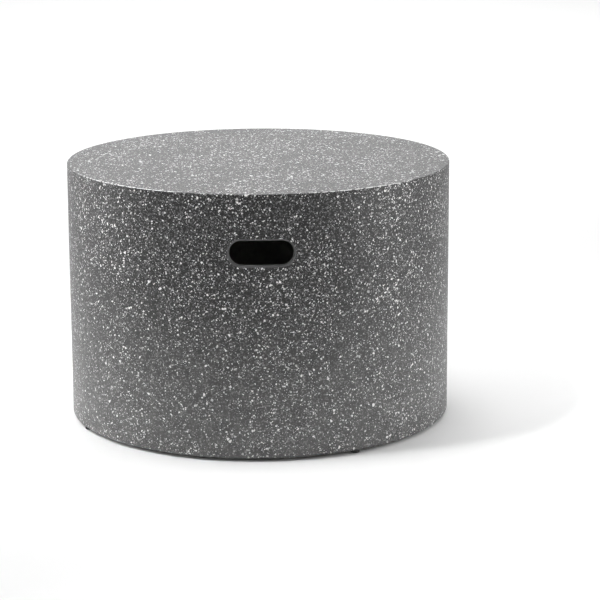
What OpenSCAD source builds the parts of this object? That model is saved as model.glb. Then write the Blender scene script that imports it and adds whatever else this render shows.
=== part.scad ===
// Round outdoor side table: a hollow terrazzo drum, cast in one piece, with two hand slots
// and four levelling feet that screw into its rim.
// Millimetres. The origin is on the floor under the middle of the drum, +Z is up and -Y is
// the side with the slot that faces the viewer.

/* [Drum] */
// Outside diameter of the drum
drum_d = 600; // [520:10:700]
// Height of the casting, from its rim to the table top
drum_h = 400; // [340:10:480]
// Thickness of the side wall
wall_t = 12; // [10:1:16]
// Thickness of the table top between its ribs
top_t = 16; // [12:1:24]
// Radius of the edge round the table top
top_edge_r = 1.5; // [1:0.5:3]
// Radius of the outer edge of the rim
rim_edge_r = 3; // [2:0.5:4]
// Chamfer of the inner edge of the rim
rim_bevel = 2; // [1:0.5:3]
// Radius of the cove inside, between the wall and the table top
cove_r = 26; // [10:2:40]

/* [Ribs under the table top] */
// Number of ribs that run from the hub to the wall
rib_count = 4; // [3:1:8]
// Angle of the first rib, from the right-hand side
rib_turn = 45; // [0:5:90]
// Width of a rib at its lower edge
rib_w = 12; // [8:1:20]
// Depth of the ribs below the table top
rib_depth = 22; // [12:1:30]
// How much wider a rib is on each side where it meets the table top
rib_draft = 6; // [3:1:10]
// Diameter of the hub where the ribs meet
hub_d = 90; // [60:5:140]

/* [Hand slots] */
// Length of a slot round the drum, end to end
slot_w = 96.5; // [84:0.5:120]
// Height of a slot
slot_h = 37; // [30:1:48]
// Distance from the table top down to the middle of a slot
slot_drop = 87.5; // [75:0.5:110]
// Radius of the rounded edges of a slot, outside and inside
slot_lip_r = 4; // [2:0.5:4.5]

/* [Feet on the rim] */
// Angle between the two feet on one side, seen from above
foot_spread = 95.5; // [80:0.5:110]
// Angle by which the feet are turned from the front, towards the left
foot_turn = 19.25; // [0:0.25:40]
// Distance from the outside of the drum to the middle of a foot
foot_inset = 9; // [8.5:0.5:12]
// Space between the floor and the rim with the feet screwed in
floor_gap = 5; // [4.5:0.5:9]
// Diameter of the boss inside the wall above a foot
boss_d = 28; // [24:1:36]
// Height of the boss up to its tapered end
boss_h = 34; // [30:1:50]
// Height of the boss's tapered end
boss_taper = 18; // [12:1:28]

/* [Threaded insert] */
// Diameter of the insert's body
insert_d = 9; // [8:0.5:10]
// Length of the insert
insert_len = 27; // [26:1:30]
// Diameter of the insert's flange
insert_flange_d = 11.5; // [10.5:0.5:12]
// Thickness of the insert's flange
insert_flange_t = 1.2; // [1:0.2:1.8]
// Depth of the grooves that key the insert into the casting
insert_groove = 0.7; // [0.4:0.1:1]
// Thickness of the closed end of the insert
insert_end_t = 2; // [1.5:0.5:3]

/* [Foot] */
// Thread diameter of the stem
stem_d = 6; // [5:0.5:6.5]
// Length of the stem above its head
stem_len = 21; // [20:1:22]
// Diameter of the stem's head, inside the pad
head_d = 9.5; // [9:0.5:10.5]
// Thickness of the stem's head
head_t = 1.4; // [1:0.2:1.8]
// Diameter of the pad
pad_d = 14; // [13.5:0.5:16]
// Radius of the pad's lower edge
pad_edge_r = 1; // [0.6:0.2:1.2]
// Number of finger flutes round the pad
flute_count = 12; // [8:1:16]
// Diameter of a flute
flute_d = 2; // [1.5:0.5:3]
// Depth of a flute
flute_depth = 0.4; // [0.3:0.1:0.6]
// Diameter of the tread under the pad
tread_d = 9.5; // [9:0.5:10.5]
// Thickness of the tread
tread_t = 1.6; // [1.2:0.1:2]
// Height of the pad above the floor, which the tread stands proud
tread_proud = 0.6; // [0.4:0.1:0.9]
// Depth of the grooves in the tread
tread_groove = 0.4; // [0.2:0.1:0.6]
// Width of the grooves in the tread
tread_groove_w = 0.8; // [0.5:0.1:1.2]

/* [Clearances] */
// Gap between the stem and the insert's thread, on the radius
thread_gap = 0.05; // [0.03:0.01:0.1]
// Gap between a pad that is screwed in and the rim
seat_gap = 0.2; // [0.1:0.1:0.5]
// Gap between the tread and the pad round it
tread_gap = 0.2; // [0.1:0.1:0.4]

/* [Hidden] */
$fn = 96;

// How far a cutter runs past the face that it cuts
past = 2;
drum_r = drum_d / 2;
inner_r = drum_r - wall_t;
inner_h = drum_h - top_t;
table_h = floor_gap + drum_h;

slot_z = table_h - slot_drop;
// Angle from the middle of a slot to the axis of its round end
slot_end_a = (slot_w - slot_h) / 2 / drum_r * 180 / PI;
// Angle by which the two halves of a slot's cutter overlap in its middle
slot_meet_a = 0.5;
// How far a slot's rounding would run past the faces of the wall, so that it meets them in
// an edge that can be seen and not at a tangent
slot_lip_past = 0.03;
front = -90;
back = 90;

foot_r = drum_r - foot_inset;
foot_left = front - foot_turn - foot_spread / 2;
foot_front = front - foot_turn + foot_spread / 2;
foot_right = foot_left + 180;
foot_back = foot_front + 180;
FEET = [foot_left, foot_front, foot_right, foot_back];

// Number of equal bands along the insert above its flange; the second and the fifth are grooves
insert_bands = 6;
insert_step = (insert_len - insert_flange_t) / insert_bands;
stem_r = stem_d / 2 - thread_gap;
head_r = head_d / 2;
pad_r = pad_d / 2;
pad_top = floor_gap - seat_gap;
head_z = tread_t;
tread_r = tread_d / 2;
// Where the tread's grooves lie, as parts of its radius
GROOVE_PARTS = [0.35, 0.7];

// Puts its children at the foot at angle a, at height z
module at_foot(a, z = 0) {
    rotate([0, 0, a])
        translate([foot_r, 0, z])
            children();
}

// Outer outline of the drum, from the axis outwards
module drum_outline() {
    difference() {
        square([drum_r, drum_h]);
        translate([drum_r - top_edge_r, drum_h - top_edge_r])
            corner_waste(top_edge_r);
        translate([drum_r - rim_edge_r, rim_edge_r])
            mirror([0, 1])
                corner_waste(rim_edge_r);
    }
}

// What a rounded corner of radius r loses, with the arc's centre at the origin
module corner_waste(r) {
    difference() {
        square(r + past);
        circle(r);
    }
}

// Outline of the hollow, from the axis outwards
module hollow_outline() {
    difference() {
        translate([0, -past])
            square([inner_r, inner_h + past]);
        translate([inner_r - cove_r, inner_h - cove_r])
            corner_waste(cove_r);
    }
    polygon([
        [0, -past],
        [inner_r + rim_bevel + past, -past],
        [inner_r, rim_bevel],
        [0, rim_bevel]
    ]);
}

// One rib with its sides drawn in, from the axis to beyond the wall
module rib() {
    low = inner_h - rib_depth;
    rotate([90, 0, 90])
        linear_extrude(drum_r)
            polygon([
                [-rib_w / 2, low],
                [rib_w / 2, low],
                [rib_w / 2 + rib_draft, inner_h + past],
                [-rib_w / 2 - rib_draft, inner_h + past]
            ]);
}

// Round hub where the ribs meet, with the same slope as their sides
module hub() {
    translate([0, 0, inner_h - rib_depth])
        cylinder(h = rib_depth + past, r1 = hub_d / 2, r2 = hub_d / 2 + rib_draft);
}

// Boss inside the wall above a foot, tapered back into the wall
module boss() {
    rotate_extrude()
        polygon([
            [0, -2 * past],
            [boss_d / 2, -2 * past],
            [boss_d / 2, boss_h],
            [0, boss_h + boss_taper]
        ]);
}

// The hollow inside the drum, less the ribs, the hub and the bosses
module hollow() {
    difference() {
        rotate_extrude()
            hollow_outline();
        for (k = [0 : rib_count - 1])
            rotate([0, 0, rib_turn + k * 360 / rib_count])
                rib();
        hub();
        for (a = FEET)
            at_foot(a)
                boss();
    }
}

// Half of a slot's section through the wall, with its rounded edges.
// x runs from the slot's middle line and y from the axis of the drum.
module slot_section() {
    half = slot_h / 2;
    outer = drum_r - slot_lip_r + slot_lip_past;
    inner = inner_r + slot_lip_r - slot_lip_past;
    difference() {
        translate([0, inner_r - past])
            square([half + slot_lip_r, wall_t + 2 * past]);
        translate([half + slot_lip_r, outer])
            circle(slot_lip_r);
        translate([half + slot_lip_r, inner])
            circle(slot_lip_r);
        translate([half, inner])
            square([slot_lip_r + past, outer - inner]);
    }
}

// One half of a slot: its round end about the X axis, and from there the straight stretch
// round the drum to just past the slot's middle
module slot_half() {
    rotate_extrude(angle = slot_end_a + slot_meet_a)
        for (side = [0, 1])
            mirror([0, side])
                rotate(-90)
                    mirror([1, 0])
                        slot_section();
    rotate([0, 90, 0])
        rotate([0, 0, 180])
            rotate_extrude(angle = 180)
                slot_section();
}

// One hand slot with its middle at angle a
module hand_slot(a) {
    rotate([0, 0, a - slot_end_a])
        slot_half();
    rotate([0, 0, a + slot_end_a])
        mirror([0, 1, 0])
            slot_half();
}

// Outside of a threaded insert, and so the pocket that it fills
module insert_form() {
    r = insert_d / 2;
    key_r = r - insert_groove;
    rotate_extrude()
        difference() {
            union() {
                square([insert_flange_d / 2, insert_flange_t]);
                square([r, insert_len]);
            }
            for (band = [1, insert_bands - 2])
                translate([key_r, insert_flange_t + band * insert_step])
                    square([insert_groove + past, insert_step]);
        }
}

module table_shell() {
    color("#5f6061")
        difference() {
            translate([0, 0, floor_gap])
                difference() {
                    rotate_extrude()
                        drum_outline();
                    hollow();
                }
            for (a = [front, back])
                translate([0, 0, slot_z])
                    hand_slot(a);
            for (a = FEET)
                at_foot(a, floor_gap)
                    insert_form();
        }
}

module insert(a) {
    color("#b08d4a")
        at_foot(a, floor_gap)
            difference() {
                insert_form();
                translate([0, 0, -past])
                    cylinder(h = insert_len - insert_end_t + past, d = stem_d);
            }
}

// The stem with its head, which is also the space that it fills in the pad
module stem_form() {
    translate([0, 0, head_z])
        cylinder(h = head_t, r = head_r);
    translate([0, 0, head_z])
        cylinder(h = head_t + stem_len, r = stem_r);
}

module stem(a) {
    color("#b9bcc0")
        at_foot(a)
            stem_form();
}

// Outline of the pad, from its axis outwards
module pad_outline() {
    difference() {
        translate([0, tread_proud])
            square([pad_r, pad_top - tread_proud]);
        translate([pad_r - pad_edge_r, tread_proud + pad_edge_r])
            mirror([0, 1])
                corner_waste(pad_edge_r);
    }
}

module pad(a) {
    color("#161617")
        at_foot(a)
            difference() {
                rotate_extrude()
                    pad_outline();
                stem_form();
                cylinder(h = head_z, r = tread_r + tread_gap);
                for (k = [0 : flute_count - 1])
                    rotate([0, 0, k * 360 / flute_count])
                        translate([pad_r + flute_d / 2 - flute_depth, 0, -past])
                            cylinder(h = pad_top + 2 * past, d = flute_d);
            }
}

// Round groove in the underside of the tread, at radius r
module tread_ring(r) {
    rotate_extrude()
        translate([r, -past])
            square([tread_groove_w, tread_groove + past]);
}

module tread(a) {
    color("#202021")
        at_foot(a)
            difference() {
                cylinder(h = tread_t, r = tread_r);
                for (part = GROOVE_PARTS)
                    tread_ring(tread_r * part);
            }
}

table_shell();
insert(foot_left);  // insert_left
insert(foot_front);  // insert_front
insert(foot_right);  // insert_right
insert(foot_back);  // insert_back
stem(foot_left);  // stem_left
stem(foot_front);  // stem_front
stem(foot_right);  // stem_right
stem(foot_back);  // stem_back
pad(foot_left);  // pad_left
pad(foot_front);  // pad_front
pad(foot_right);  // pad_right
pad(foot_back);  // pad_back
tread(foot_left);  // tread_left
tread(foot_front);  // tread_front
tread(foot_right);  // tread_right
tread(foot_back);  // tread_back
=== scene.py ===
"""Looks of a round terrazzo side table for outdoors: a cast drum on four levelling feet.

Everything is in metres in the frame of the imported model: +Z up, the origin on the floor under
the middle of the drum, and -Y out of the hand slot that faces the camera.
"""

import logging
import math
from dataclasses import dataclass, field
from enum import Enum
from functools import reduce
from typing import Any, Iterable, Optional, Sequence, Union

import bmesh
import bpy
from mathutils import Matrix, Vector

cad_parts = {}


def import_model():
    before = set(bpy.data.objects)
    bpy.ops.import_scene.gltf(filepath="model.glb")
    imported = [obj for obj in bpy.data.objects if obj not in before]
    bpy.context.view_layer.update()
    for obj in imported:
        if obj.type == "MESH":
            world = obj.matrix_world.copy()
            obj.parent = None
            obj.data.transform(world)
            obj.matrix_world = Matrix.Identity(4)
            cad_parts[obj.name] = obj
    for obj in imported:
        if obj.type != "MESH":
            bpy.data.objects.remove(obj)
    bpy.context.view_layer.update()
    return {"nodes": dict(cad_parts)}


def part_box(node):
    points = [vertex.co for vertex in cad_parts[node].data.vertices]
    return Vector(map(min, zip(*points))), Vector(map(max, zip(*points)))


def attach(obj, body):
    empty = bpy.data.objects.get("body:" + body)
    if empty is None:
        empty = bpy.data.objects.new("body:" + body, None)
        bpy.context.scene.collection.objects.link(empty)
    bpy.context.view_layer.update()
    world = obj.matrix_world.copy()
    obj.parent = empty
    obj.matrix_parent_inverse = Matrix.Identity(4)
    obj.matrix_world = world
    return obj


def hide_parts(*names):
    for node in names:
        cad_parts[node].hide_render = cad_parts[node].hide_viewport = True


LOG = logging.getLogger("side_table")
MM = 0.001
SHARP_ANGLE = 40.0
FOOT_NAMES = ("left", "front", "right", "back")

Number = Union[int, float]
Pair = tuple[float, float]
Triple = tuple[float, float, float]
Colour = Triple


class Wire:
    """A value that runs through a node tree, with arithmetic on it."""

    def __init__(self, graph: "Graph", socket: bpy.types.NodeSocket) -> None:
        """Wraps a socket.

        Args:
            graph: The node tree that the socket belongs to.
            socket: The output socket that carries the value.
        """
        self.graph = graph
        self.socket = socket

    def _math(self, operation: str, *values: "Operand") -> "Wire":
        """Adds a Math node.

        Args:
            operation: The Math node's operation.
            values: Its operands, in order.

        Returns:
            The result.
        """
        settings = {"operation": operation}
        node = self.graph.node("ShaderNodeMath", settings, dict(enumerate(values)))
        return self.graph.wire(node, 0)

    def __add__(self, other: "Operand") -> "Wire":
        """Sum of two values."""
        return self._math("ADD", self, other)

    def __radd__(self, other: "Operand") -> "Wire":
        """Sum with the number on the left."""
        return self._math("ADD", other, self)

    def __sub__(self, other: "Operand") -> "Wire":
        """Difference of two values."""
        return self._math("SUBTRACT", self, other)

    def __rsub__(self, other: "Operand") -> "Wire":
        """Difference with the number on the left."""
        return self._math("SUBTRACT", other, self)

    def __mul__(self, other: "Operand") -> "Wire":
        """Product of two values."""
        return self._math("MULTIPLY", self, other)

    def __rmul__(self, other: "Operand") -> "Wire":
        """Product with the number on the left."""
        return self._math("MULTIPLY", other, self)

    def __truediv__(self, other: "Operand") -> "Wire":
        """Quotient of two values."""
        return self._math("DIVIDE", self, other)

    def __rtruediv__(self, other: "Operand") -> "Wire":
        """Quotient with the number on the left."""
        return self._math("DIVIDE", other, self)

    def __pow__(self, other: "Operand") -> "Wire":
        """Power of a value."""
        return self._math("POWER", self, other)

    def __rpow__(self, other: "Operand") -> "Wire":
        """Power with the number as its base."""
        return self._math("POWER", other, self)

    def __gt__(self, other: "Operand") -> "Wire":
        """1 where the value is above the other, and 0 elsewhere."""
        return self._math("GREATER_THAN", self, other)

    def __lt__(self, other: "Operand") -> "Wire":
        """1 where the value is under the other, and 0 elsewhere."""
        return self._math("LESS_THAN", self, other)

    def __abs__(self) -> "Wire":
        """Size of the value without its sign."""
        return self._math("ABSOLUTE", self)

    def at_least(self, other: "Operand") -> "Wire":
        """The greater of two values."""
        return self._math("MAXIMUM", self, other)

    def root(self) -> "Wire":
        """Square root of the value."""
        return self._math("SQRT", self)

    def growth(self) -> "Wire":
        """The number e raised to the value."""
        return self._math("EXPONENT", self)

    def ramp(
        self, low: "Operand", high: "Operand", start: float = 0.0, end: float = 1.0
    ) -> "Wire":
        """Runs smoothly from one result to another as the value crosses a band.

        Args:
            low: Where the band starts.
            high: Where the band ends.
            start: The result at and before the band's start.
            end: The result at and past its end.

        Returns:
            The eased value.
        """
        settings = {"interpolation_type": "SMOOTHSTEP", "clamp": True}
        ends = {"Value": self, "From Min": low, "From Max": high, "To Min": start, "To Max": end}
        return self.graph.wire(self.graph.node("ShaderNodeMapRange", settings, ends), "Result")


Operand = Union[Wire, Number]


class Graph:
    """The node tree of a material or of the world."""

    def __init__(self, tree: bpy.types.NodeTree) -> None:
        """Empties a node tree and takes it over.

        Args:
            tree: The tree to build in.
        """
        self.tree = tree
        tree.nodes.clear()

    def node(self, kind: str, settings: dict[str, Any], values: dict[Any, Any]) -> bpy.types.Node:
        """Adds one node.

        Args:
            kind: The node's Blender type.
            settings: Its settings, which are set first.
            values: What its input sockets get, by name or number: a Wire, a number or a list.

        Returns:
            The node.
        """
        made = self.tree.nodes.new(kind)
        for key, value in settings.items():
            setattr(made, key, value)
        for key, value in values.items():
            if isinstance(value, Wire):
                self.tree.links.new(value.socket, made.inputs[key])
            else:
                made.inputs[key].default_value = value
        return made

    def wire(self, node: bpy.types.Node, output: Union[str, int]) -> Wire:
        """One of a node's outputs as a Wire."""
        return Wire(self, node.outputs[output])

    def place(self) -> Wire:
        """Position on the piece, in metres in the piece's own frame."""
        return self.wire(self.node("ShaderNodeTexCoord", {}, {}), "Object")

    def parts(self, vector: Wire) -> tuple[Wire, Wire, Wire]:
        """The X, Y and Z of a vector."""
        node = self.node("ShaderNodeSeparateXYZ", {}, {0: vector})
        return self.wire(node, 0), self.wire(node, 1), self.wire(node, 2)

    def join(self, x: Operand, y: Operand, z: Operand) -> Wire:
        """A vector from its X, Y and Z."""
        return self.wire(self.node("ShaderNodeCombineXYZ", {}, {0: x, 1: y, 2: z}), 0)

    def vector(self, operation: str, first: Any, second: Any) -> Wire:
        """Result of a Vector Math node on two vectors."""
        node = self.node("ShaderNodeVectorMath", {"operation": operation}, {0: first, 1: second})
        return self.wire(node, 0)

    def along(self, vector: Wire, direction: Triple) -> Wire:
        """How far a vector reaches along a direction.

        Args:
            vector: The vector.
            direction: The direction, one long.

        Returns:
            The reach.
        """
        settings = {"operation": "DOT_PRODUCT"}
        node = self.node("ShaderNodeVectorMath", settings, {0: vector, 1: direction})
        return self.wire(node, "Value")

    def mix(self, share: Operand, first: Any, second: Any) -> Wire:
        """Mix of two colours.

        Args:
            share: How much of the second colour is taken.
            first: The first colour.
            second: The second colour.

        Returns:
            The mixed colour.
        """
        first, second = [(*c, 1.0) if isinstance(c, tuple) else c for c in (first, second)]
        values = {0: share, 6: first, 7: second}
        return self.wire(self.node("ShaderNodeMix", {"data_type": "RGBA"}, values), 2)

    def bump(self, height: Wire, depth: float, normal: Optional[Wire] = None) -> Wire:
        """Normal of a surface with small relief.

        Args:
            height: The relief, from 0 to 1.
            depth: What 1 stands for, in metres.
            normal: The normal to start from, if it isn't the surface's own.

        Returns:
            The bumped normal.
        """
        values = {"Height": height, "Distance": depth, "Strength": 1.0}
        if normal is not None:
            values["Normal"] = normal
        return self.wire(self.node("ShaderNodeBump", {}, values), 0)

    def surface(self, values: dict[str, Any]) -> None:
        """Ends the tree in one Principled shader.

        Args:
            values: What its input sockets get.
        """
        shader = self.node("ShaderNodeBsdfPrincipled", {}, values)
        self.node("ShaderNodeOutputMaterial", {}, {"Surface": self.wire(shader, 0)})


class Grain(Enum):
    """Sizes of the terrazzo's chips: a cell's size in mm, and the share of cells with a chip."""

    DUST = (1.6, 0.085)
    FINE = (2.3, 0.080)
    MEDIUM = (3.2, 0.055)
    COARSE = (4.4, 0.020)


@dataclass(frozen=True)
class Noise:
    """Noise about 0.5: the size of its patches, and the number and strength of finer layers."""

    size: float
    detail: float
    roughness: float

    def read(self, graph: Graph, place: Wire) -> Wire:
        """Value of the noise at a place.

        Args:
            graph: The tree to build in.
            place: Where it is read.

        Returns:
            The value.
        """
        values = {"Vector": place, "Scale": 1.0 / self.size}
        values |= {"Detail": self.detail, "Roughness": self.roughness}
        return graph.wire(graph.node("ShaderNodeTexNoise", {}, values), 0)


@dataclass(frozen=True)
class Cloud(Noise):
    """Noise that runs from one level to another as it crosses a band."""

    band: Pair
    levels: Pair = (0.0, 1.0)

    def read(self, graph: Graph, place: Wire) -> Wire:
        """Value of the noise at a place, on its levels."""
        return super().read(graph, place).ramp(*self.band, *self.levels)


@dataclass(frozen=True)
class Finish:
    """A finish that a material is made from."""

    name: str

    def material(self) -> bpy.types.Material:
        """Makes the material.

        Returns:
            The new material.
        """
        made = bpy.data.materials.new(self.name)
        made.use_nodes = True
        self.build(Graph(made.node_tree))
        return made

    def build(self, graph: Graph) -> None:
        """Builds the finish's nodes; each finish has its own."""
        raise NotImplementedError


@dataclass(frozen=True)
class Terrazzo(Finish):
    """Dark terrazzo, ground and sealed outside and left as cast inside the drum."""

    name: str = "terrazzo"
    # The drum and its hand slots
    drum_r: float = 0.300
    table_h: float = 0.405
    slot_z: float = 0.3175
    slot_half: float = 0.0297
    slot_r: float = 0.0185
    ground_depth: float = 0.005
    # Sand between the chips
    sand_grain: float = 1.6
    sand_power: int = 5
    matrix: Colour = (0.004, 0.004, 0.0042)
    matrix_light: Colour = (0.205, 0.205, 0.207)
    # Chips
    chip_drift: Triple = (0.37, 1.7, 0.71)
    chip_gap: float = 0.07
    chip_gap_more: float = 0.15
    chip_edge: float = 0.05
    chip_crowds: Cloud = Cloud(0.09, 3.0, 0.55, (0.30, 0.70), (0.65, 1.30))
    chip_shades: Pair = (0.0, 0.40)
    chip_dull: Colour = (0.38, 0.38, 0.38)
    chip_white: Colour = (0.86, 0.86, 0.85)
    # The edge round the top, with a pale highlight painted on it in broken stretches
    arris: float = 0.0020
    arris_drop: float = 0.0006
    highlight_past_slot: Pair = (0.05, 0.11)
    highlight_shift: float = 0.030
    highlight_reach: Pair = (0.215, 0.260)
    highlight_stretches: Cloud = Cloud(0.07, 1.0, 0.5, (0.34, 0.48))
    highlight_specks: Cloud = Cloud(0.005, 2.0, 0.6, (0.40, 0.52))
    highlight_colour: Colour = (0.80, 0.80, 0.79)
    # Painted light from the floor, paler towards the bottom of the drum
    bounce_height: float = 0.32
    bounce_most: float = 0.15
    bounce_clouds: Cloud = Cloud(0.03, 3.0, 0.6, (0.2, 0.8), (0.7, 1.3))
    bounce_colour: Colour = (0.50, 0.50, 0.49)
    # The lips of the hand slots, without chips
    lip_start: float = 0.002
    lip_end: float = 0.003125
    lip_colour: Colour = (0.085, 0.085, 0.086)
    # The raw casting inside, with its short glass fibres
    raw_clouds: Cloud = Cloud(0.05, 4.0, 0.6, (0.35, 0.65))
    raw_dark: Colour = (0.27, 0.27, 0.26)
    raw_light: Colour = (0.40, 0.40, 0.385)
    fibre_along: Triple = (60.0, 420.0, 60.0)
    fibre_across: Triple = (420.0, 60.0, 70.0)
    fibres_along: Cloud = Cloud(1.0, 1.0, 0.4, (0.60, 0.66))
    fibres_across: Cloud = Cloud(1.0, 1.0, 0.4, (0.61, 0.67))
    fibre_share: float = 0.35
    fibre_colour: Colour = (0.22, 0.22, 0.21)
    # Gloss and relief
    roughness: float = 0.38
    sand_rougher: float = 0.25
    chip_smoother: float = 0.14
    raw_rougher: float = 0.30
    sand_relief: float = 0.25
    chip_relief: float = 0.6
    relief_depth: float = 0.00004
    raw_grain: Noise = Noise(0.006, 4.0, 0.65)
    raw_depth: float = 0.0012
    ior: float = 1.50

    @staticmethod
    def length(first: Wire, second: Wire) -> Wire:
        """Length of a vector from its two parts."""
        return (first * first + second * second).root()

    def chips(self, graph: Graph, place: Wire, grain: Grain, density: Wire) -> tuple[Wire, Wire]:
        """Angular chips of one size.

        Args:
            graph: The tree to build in.
            place: Where the pattern is read.
            grain: The size of the chips.
            density: How crowded they are, about 1.

        Returns:
            A mask that is 1 on the chips, and each chip's own random brightness.
        """
        cell, share = grain.value
        drift = graph.vector("SUBTRACT", place, tuple(cell * step for step in self.chip_drift))
        near = {"Vector": drift, "Scale": 1.0 / (cell * MM), "Randomness": 1.0}
        cells = graph.node("ShaderNodeTexVoronoi", {"feature": "F1"}, near)
        edges = graph.node("ShaderNodeTexVoronoi", {"feature": "DISTANCE_TO_EDGE"}, near)
        red, green, blue = graph.parts(graph.wire(cells, "Color"))
        gap = self.chip_gap + blue * self.chip_gap_more
        inside = graph.wire(edges, "Distance").ramp(gap, gap + self.chip_edge)
        chosen = red < density * share
        return inside * chosen, green

    def sand(self, graph: Graph, place: Wire) -> Wire:
        """Random shade of each grain of the sand between the chips.

        Args:
            graph: The tree to build in.
            place: Where the pattern is read.

        Returns:
            The shade, from 0 to 1.
        """
        near = {"Vector": place, "Scale": 1.0 / (self.sand_grain * MM), "Randomness": 1.0}
        grains = graph.node("ShaderNodeTexVoronoi", {"feature": "F1"}, near)
        shade, _, _ = graph.parts(graph.wire(grains, "Color"))
        return shade

    def slot_distance(self, graph: Graph, place: Wire) -> Wire:
        """Distance from the edge of the nearest hand slot, seen from outside.

        Args:
            graph: The tree to build in.
            place: Where it is read.

        Returns:
            The distance, in metres.
        """
        across, _, up = graph.parts(place)
        past_end = (abs(across) - self.slot_half).at_least(0.0)
        return self.length(past_end, up - self.slot_z) - self.slot_r

    def ground_mask(self, graph: Graph, place: Wire) -> Wire:
        """Tells the ground outside from the raw inside.

        Args:
            graph: The tree to build in.
            place: Where it is read.

        Returns:
            1 on the outside and 0 on the inside.
        """
        across, deep, up = graph.parts(place)
        wall = self.length(across, deep) > self.drum_r - self.ground_depth
        return wall.at_least(up > self.table_h - self.ground_depth)

    def painted_edge_highlight(self, graph: Graph, place: Wire) -> Wire:
        """Finds where a pale highlight is painted on the edge round the top, in stretches away
        from the slots.

        Args:
            graph: The tree to build in.
            place: Where it is read.

        Returns:
            1 where the highlight is painted and 0 elsewhere.
        """
        across, deep, up = graph.parts(place)
        outer = self.length(across, deep) > self.drum_r - self.arris
        edge = outer * (up > self.table_h - self.arris_drop)
        past_slot = abs(across).ramp(*self.highlight_past_slot)
        within = abs(across + self.highlight_shift).ramp(*self.highlight_reach, 1.0, 0.0)
        stretches = past_slot * within * self.highlight_stretches.read(graph, place)
        return edge * stretches * self.highlight_specks.read(graph, place)

    def painted_floor_bounce(self, graph: Graph, place: Wire) -> Wire:
        """Finds how much painted light from the floor lies on the drum, most of it near the
        floor.

        Args:
            graph: The tree to build in.
            place: Where it is read.

        Returns:
            The painted light's share of the colour.
        """
        _, _, up = graph.parts(place)
        paler = up.ramp(0.0, self.bounce_height, self.bounce_most, 0.0)
        return paler * self.bounce_clouds.read(graph, place)

    def raw_colour(self, graph: Graph, place: Wire) -> Wire:
        """Colour of the raw casting with its short glass fibres.

        Args:
            graph: The tree to build in.
            place: Where it is read.

        Returns:
            The colour.
        """
        along = graph.vector("MULTIPLY", place, self.fibre_along)
        across = graph.vector("MULTIPLY", place, self.fibre_across)
        fibres = self.fibres_along.read(graph, along)
        fibres = fibres.at_least(self.fibres_across.read(graph, across))
        base = graph.mix(self.raw_clouds.read(graph, place), self.raw_dark, self.raw_light)
        return graph.mix(fibres * self.fibre_share, base, self.fibre_colour)

    def build(self, graph: Graph) -> None:
        """Builds the terrazzo's nodes.

        Args:
            graph: The material's tree.
        """
        place = graph.place()
        ground = self.ground_mask(graph, place)
        crowds = self.chip_crowds.read(graph, place)
        sand = self.sand(graph, place)
        colour = graph.mix(sand ** self.sand_power, self.matrix, self.matrix_light)
        masks = []
        for grain in Grain:
            chip, shade = self.chips(graph, place, grain, crowds)
            tone = graph.mix(shade.ramp(*self.chip_shades), self.chip_dull, self.chip_white)
            colour = graph.mix(chip, colour, tone)
            masks.append(chip)
        # Painted highlight: the edge round the top is made pale in broken stretches.
        colour = graph.mix(self.painted_edge_highlight(graph, place), colour, self.highlight_colour)
        # Painted light from the floor: the drum is made paler towards its bottom, in clouds.
        colour = graph.mix(self.painted_floor_bounce(graph, place), colour, self.bounce_colour)
        lip = self.slot_distance(graph, place).ramp(self.lip_start, self.lip_end, 1.0, 0.0)
        colour = graph.mix(lip, colour, self.lip_colour)
        colour = graph.mix(ground, self.raw_colour(graph, place), colour)
        raw = 1 - ground
        shown = reduce(Wire.at_least, masks) * ground * (1 - lip)
        roughness = self.roughness + sand * self.sand_rougher
        roughness = roughness - shown * self.chip_smoother + raw * self.raw_rougher
        relief = sand * self.sand_relief + shown * self.chip_relief
        raw_relief = self.raw_grain.read(graph, place) * raw
        normal = graph.bump(relief, self.relief_depth)
        graph.surface({
            "Base Color": colour,
            "Roughness": roughness,
            "Normal": graph.bump(raw_relief, self.raw_depth, normal),
            "IOR": self.ior,
        })


@dataclass(frozen=True)
class Moulded(Finish):
    """Moulded nylon or rubber with a fine grain."""

    colour: Colour
    roughness: float
    grain: Noise
    pore_rougher: float = 0.12
    pore_depth: float = 0.00003
    wear: Noise = Noise(0.004, 3.0, 0.6)
    wear_band: Pair = (0.4, 0.75)
    wear_lighter: float = 1.9
    wear_smoother: float = 0.06

    def build(self, graph: Graph) -> None:
        """Builds the moulded finish's nodes.

        Args:
            graph: The material's tree.
        """
        place = graph.place()
        pores = self.grain.read(graph, place)
        wear = self.wear.read(graph, place)
        worn = tuple(min(1.0, part * self.wear_lighter) for part in self.colour)
        roughness = self.roughness + pores * self.pore_rougher - wear * self.wear_smoother
        graph.surface({
            "Base Color": graph.mix(wear.ramp(*self.wear_band), self.colour, worn),
            "Roughness": roughness,
            "Normal": graph.bump(pores, self.pore_depth),
        })


@dataclass(frozen=True)
class Metal(Finish):
    """Turned or plated metal with faint rings and a little dulling."""

    colour: Colour
    tarnish: Colour
    roughness: float
    turning: Noise = Noise(0.0003, 2.0, 0.6)
    ring_rougher: float = 0.12
    ring_depth: float = 0.00001
    dulling: Cloud = Cloud(0.005, 4.0, 0.6, (0.42, 0.72))
    dull_rougher: float = 0.2
    dull_cover: float = 0.25

    def build(self, graph: Graph) -> None:
        """Builds the metal's nodes.

        Args:
            graph: The material's tree.
        """
        place = graph.place()
        _, _, up = graph.parts(place)
        rings = self.turning.read(graph, graph.join(0.0, 0.0, up))
        dull = self.dulling.read(graph, place)
        graph.surface({
            "Base Color": graph.mix(dull, self.colour, self.tarnish),
            "Metallic": 1 - dull * self.dull_cover,
            "Roughness": self.roughness + rings * self.ring_rougher + dull * self.dull_rougher,
            "Normal": graph.bump(rings, self.ring_depth),
        })


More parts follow.
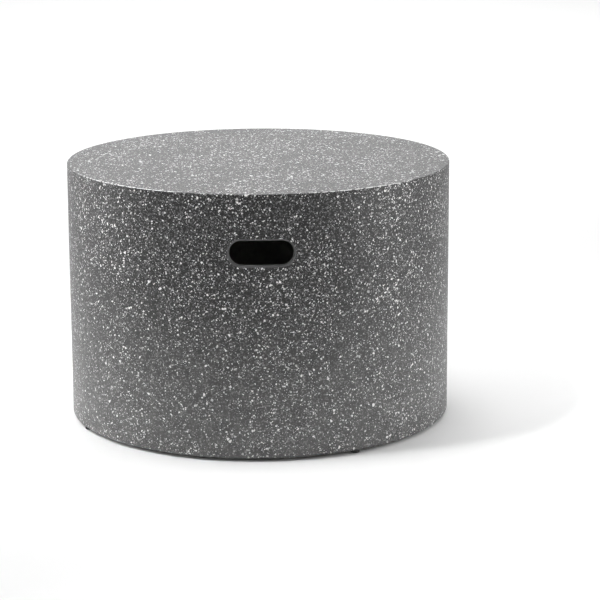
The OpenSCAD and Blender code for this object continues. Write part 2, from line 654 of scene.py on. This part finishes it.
@dataclass(frozen=True)
class FloorPaint(Finish):
    """Matt white studio floor."""

    name: str = "studio_floor"
    colour: Colour = (0.92, 0.92, 0.92)
    shade: float = 0.99
    mottle: Noise = Noise(0.4, 2.0, 0.5)
    roughness: float = 0.9

    def build(self, graph: Graph) -> None:
        """Builds the floor's nodes.

        Args:
            graph: The material's tree.
        """
        mottle = self.mottle.read(graph, graph.place())
        darker = tuple(part * self.shade for part in self.colour)
        graph.surface({
            "Base Color": graph.mix(mottle, darker, self.colour),
            "Roughness": self.roughness,
            "Specular IOR Level": 0.0,
        })


def revolved(name: str, rows: Sequence[tuple[float, Sequence[float]]]) -> bpy.types.Object:
    """Makes a closed body of rings round the Z axis, with a point at each end.

    Args:
        name: Name of the piece.
        rows: Height of each ring and its radius at each step round the axis, from the bottom.

    Returns:
        The piece, linked to the scene.
    """
    shape = bmesh.new()
    rings = []
    for height, radii in rows:
        ring = []
        for step, radius in enumerate(radii):
            turn = 2 * math.pi * step / len(radii)
            spot = (radius * math.cos(turn), radius * math.sin(turn), height)
            ring.append(shape.verts.new(spot))
        rings.append(ring)
    for low, high in zip(rings, rings[1:]):
        for step in range(len(low)):
            after = (step + 1) % len(low)
            shape.faces.new((low[step], low[after], high[after], high[step]))
    for ring, height, outwards in ((rings[0], rows[0][0], -1), (rings[-1], rows[-1][0], 1)):
        tip = shape.verts.new((0.0, 0.0, height))
        for step in range(len(ring)):
            edge = (ring[step], ring[(step + 1) % len(ring)])
            shape.faces.new((tip, *edge[::outwards]))
    mesh = bpy.data.meshes.new(name)
    shape.to_mesh(mesh)
    shape.free()
    mesh.shade_smooth()
    mesh.set_sharp_from_angle(angle=math.radians(SHARP_ANGLE))
    piece = bpy.data.objects.new(name, mesh)
    bpy.context.scene.collection.objects.link(piece)
    return piece


@dataclass
class ThreadedStem:
    """Steel stem of a foot: a thin head and a shank with its whole thread."""

    crest_r: float = 2.95 * MM
    pitch: float = 1.0 * MM
    root_depth: float = 0.61 * MM
    flank_slope: float = 1.25
    crest_flat: float = 0.125
    head_t: float = 1.4 * MM
    head_edge: float = 0.2 * MM
    neck: float = 0.4 * MM
    tip: float = 0.8 * MM
    steps_round: int = 48
    steps_per_pitch: int = 8

    def thread_radius(self, height: float, turn: float) -> float:
        """Radius of the thread at a height and a part of a turn.

        Args:
            height: Height on the shank.
            turn: Part of a turn round the axis, from 0 to 1.

        Returns:
            The radius.
        """
        phase = (height / self.pitch - turn) % 1.0
        flank = abs(2.0 * phase - 1.0)
        depth = min(1.0, max(0.0, self.flank_slope * flank - self.crest_flat))
        return self.crest_r - self.root_depth * depth

    def ring(self, height: float, top: float) -> tuple[float, list[float]]:
        """One ring of the thread.

        Args:
            height: Height on the shank.
            top: The greatest radius that the ring may have.

        Returns:
            The height, and the radius at each step round the axis.
        """
        turns = [step / self.steps_round for step in range(self.steps_round)]
        return height, [min(top, self.thread_radius(height, turn)) for turn in turns]

    def build(self, name: str, node: str) -> bpy.types.Object:
        """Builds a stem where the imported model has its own.

        Args:
            name: Name of the piece.
            node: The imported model's stem.

        Returns:
            The piece.
        """
        low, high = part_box(node)
        middle = (low + high) / 2
        head_r = (high.x - low.x) / 2
        head_top = low.z + self.head_t
        plain = (
            (low.z, head_r - self.head_edge),
            (low.z + self.head_edge, head_r),
            (head_top - self.head_edge, head_r),
            (head_top, head_r - self.head_edge),
            (head_top, self.crest_r - self.root_depth),
        )
        rows = [(height, [radius] * self.steps_round) for height, radius in plain]
        start = head_top + self.neck
        count = int((high.z - start) / self.pitch * self.steps_per_pitch)
        for number in range(count + 1):
            height = start + (high.z - start) * number / count
            near_end = min(1.0, (high.z - height) / self.tip, (height - head_top) / self.tip)
            rows.append(self.ring(height, self.crest_r - self.root_depth * (1.0 - near_end)))
        piece = revolved(name, rows)
        piece.location = (middle.x, middle.y, 0.0)
        return piece


@dataclass
class DrumCasting:
    """The hollow terrazzo drum, cast in one piece."""

    node: str = "table_shell"
    finish: Terrazzo = field(default_factory=Terrazzo)

    def dress(self, nodes: dict[str, bpy.types.Object]) -> Iterable[str]:
        """Gives the casting its finish.

        Args:
            nodes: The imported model's nodes by name.

        Returns:
            The names of the pieces.
        """
        paint(nodes[self.node], self.finish.material())
        return [self.node]


@dataclass
class LevellingFeet:
    """The four feet and the inserts that they screw into."""

    nylon: Finish = Moulded(
        "foot_nylon", (0.012, 0.012, 0.0125), 0.42, Noise(0.0005, 3.0, 0.6)
    )
    rubber: Finish = Moulded(
        "tread_rubber", (0.016, 0.016, 0.016), 0.62, Noise(0.0003, 3.0, 0.6)
    )
    steel: Finish = Metal("stem_steel", (0.58, 0.59, 0.61), (0.36, 0.36, 0.35), 0.28)
    brass: Finish = Metal("insert_brass", (0.60, 0.44, 0.20), (0.28, 0.19, 0.09), 0.32)
    stem: ThreadedStem = field(default_factory=ThreadedStem)

    def dress(self, nodes: dict[str, bpy.types.Object]) -> Iterable[str]:
        """Gives every piece of the feet its finish.

        Args:
            nodes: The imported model's nodes by name.

        Returns:
            The names of the pieces.
        """
        finishes = {"insert": self.brass, "pad": self.nylon, "tread": self.rubber}
        made = []
        for kind, finish in finishes.items():
            material = finish.material()
            for foot in FOOT_NAMES:
                paint(nodes[f"{kind}_{foot}"], material)
                made.append(f"{kind}_{foot}")
        steel = self.steel.material()
        for foot in FOOT_NAMES:
            stem = self.stem.build(f"threaded_stem_{foot}", f"stem_{foot}")
            paint(stem, steel)
            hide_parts(f"stem_{foot}")
            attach(stem, f"foot_{foot}")
            made.append(stem.name)
        return made


@dataclass(frozen=True)
class Panel:
    """A soft rectangular lamp, with its power in watts and its spread in degrees."""

    name: str
    spot: Triple
    size: Pair
    aim: Triple
    power: float
    spread: float = 180.0

    def hang(self) -> None:
        """Adds the lamp, turned towards what it lights."""
        data = bpy.data.lights.new(self.name, "AREA")
        data.shape = "RECTANGLE"
        data.size, data.size_y = self.size
        data.energy = self.power
        data.spread = math.radians(self.spread)
        lamp = bpy.data.objects.new(self.name, data)
        lamp.location = self.spot
        towards = Vector(self.aim) - Vector(self.spot)
        lamp.rotation_mode = "QUATERNION"
        lamp.rotation_quaternion = towards.to_track_quat("-Z", "Y")
        lamp.visible_camera = False
        bpy.context.scene.collection.objects.link(lamp)


@dataclass
class Studio:
    """Floor, lights and camera, with angles in degrees."""

    camera_away: float = 3.6076
    camera_up: float = 1.0369
    camera_turn: float = 0.68
    aim_right: float = 1.706
    aim_down: float = 13.419
    roll: float = -0.252
    focal_px: float = 2323.0
    image_px: int = 600
    sensor_mm: float = 36.0
    clip_end: float = 200.0
    floor_size: float = 60.0
    glow_colour: Colour = (1.0, 1.0, 1.0)
    glow_width: float = 0.12
    glows: tuple[Triple, ...] = (
        (180.0, 12.0, 2.25), (45.0, 40.0, 1.22), (135.0, 40.0, 2.15),
    )
    horizon_glow: float = 0.75
    horizon_low: float = 0.12
    horizon_high: float = 0.26
    panels: tuple[Panel, ...] = (
        Panel("overhead", (0.0, 0.0, 2.4), (0.5, 0.5), (0.0, 0.0, 0.0), 0.68, 48.0),
        Panel("key", (-1.19, -0.60, 2.81), (0.3, 0.3), (0.0, 0.0, 0.2), 2.11, 42.0),
        Panel("low_key", (-2.2, -0.25, 2.2), (0.25, 0.25), (0.0, 0.0, 0.2), 0.89, 40.0),
        Panel("right_fill", (1.3, 0.3, 3.0), (0.8, 0.8), (0.0, 0.0, 0.2), 0.82, 42.0),
        Panel("far_ceiling", (0.0, 5.0, 3.5), (4.0, 3.0), (0.0, 5.0, 0.0), 89.1),
        Panel("near_ceiling", (0.0, 2.4, 2.6), (1.6, 1.2), (0.0, 2.4, 0.0), 8.88, 120.0),
        Panel("left_side", (-1.5, 0.3, 0.55), (1.0, 0.9), (0.0, 0.0, 0.2), 5.11),
        Panel("right_front", (1.3, -0.5, 0.55), (1.0, 0.9), (0.0, 0.0, 0.2), 8.7),
        Panel("back_wall", (0.0, 2.8, 1.15), (2.6, 1.0), (0.0, 0.0, 0.4), 8.1),
        Panel("front_pool", (0.0, -1.15, 1.2), (0.9, 0.2), (0.0, -1.15, 0.0), 0.69, 45.0),
    )

    def place_camera(self) -> None:
        """Sets the camera where the photograph was taken from."""
        data = bpy.data.cameras.new("camera")
        data.sensor_width = self.sensor_mm
        data.lens = self.focal_px * self.sensor_mm / self.image_px
        data.clip_end = self.clip_end
        turn = math.radians(self.camera_turn)
        yaw = math.radians(self.aim_right)
        pitch = math.radians(self.aim_down)
        roll = math.radians(self.roll)
        flat = math.cos(pitch)
        look = Vector((math.sin(yaw) * flat, math.cos(yaw) * flat, -math.sin(pitch)))
        side = look.cross(Vector((0.0, 0.0, 1.0))).normalized()
        top = side.cross(look)
        right = side * math.cos(roll) + top * math.sin(roll)
        up = top * math.cos(roll) - side * math.sin(roll)
        spot = Vector((-math.sin(turn), -math.cos(turn), 0.0)) * self.camera_away
        spot.z = self.camera_up
        camera = bpy.data.objects.new("camera", data)
        axes = Matrix((right, up, -look)).transposed()
        camera.matrix_world = Matrix.Translation(spot) @ axes.to_4x4()
        bpy.context.scene.collection.objects.link(camera)
        bpy.context.scene.camera = camera

    def lay_floor(self) -> None:
        """Lays the pale floor."""
        mesh = bpy.data.meshes.new("floor")
        half = self.floor_size / 2
        signs = ((-1, -1), (1, -1), (1, 1), (-1, 1))
        mesh.from_pydata([(half * x, half * y, 0.0) for x, y in signs], [], [(0, 1, 2, 3)])
        floor = bpy.data.objects.new("floor", mesh)
        bpy.context.scene.collection.objects.link(floor)
        paint(floor, FloorPaint().material())

    def light(self) -> None:
        """Hangs the lamps in their dim surroundings."""
        world = bpy.data.worlds.new("surroundings")
        bpy.context.scene.world = world
        world.use_nodes = True
        graph = Graph(world.node_tree)
        sky = graph.wire(graph.node("ShaderNodeTexCoord", {}, {}), "Generated")
        _, _, rise = graph.parts(sky)
        glow = abs(rise).ramp(self.horizon_low, self.horizon_high, self.horizon_glow, 0.0)
        for turn, climb, strength in self.glows:
            turn, climb = math.radians(turn), math.radians(climb)
            flat = math.cos(climb)
            middle = (flat * math.cos(turn), flat * math.sin(turn), math.sin(climb))
            glow = ((graph.along(sky, middle) - 1) / self.glow_width).growth() * strength + glow
        shade = {"Color": (*self.glow_colour, 1.0), "Strength": glow}
        back = graph.node("ShaderNodeBackground", {}, shade)
        graph.node("ShaderNodeOutputWorld", {}, {"Surface": graph.wire(back, 0)})
        for panel in self.panels:
            panel.hang()
        bpy.context.scene.view_settings.view_transform = "Standard"

    def build(self) -> None:
        """Builds the whole studio."""
        self.place_camera()
        self.lay_floor()
        self.light()


def paint(piece: bpy.types.Object, material: bpy.types.Material) -> None:
    """Gives a piece one material in place of what it has.

    Args:
        piece: The piece.
        material: Its new material.
    """
    slots = piece.data.materials
    if len(slots) == 0:
        slots.append(material)
    for number in range(len(slots)):
        slots[number] = material


def main() -> None:
    """Builds the table's looks and the studio round it."""
    logging.basicConfig(level=logging.INFO, format="%(message)s")
    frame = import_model()
    studio = Studio()
    studio.build()
    for assembly in (DrumCasting(), LevellingFeet()):
        for name in assembly.dress(frame["nodes"]):
            LOG.info("dressed %s", name)


if __name__ == "__main__":
    main()
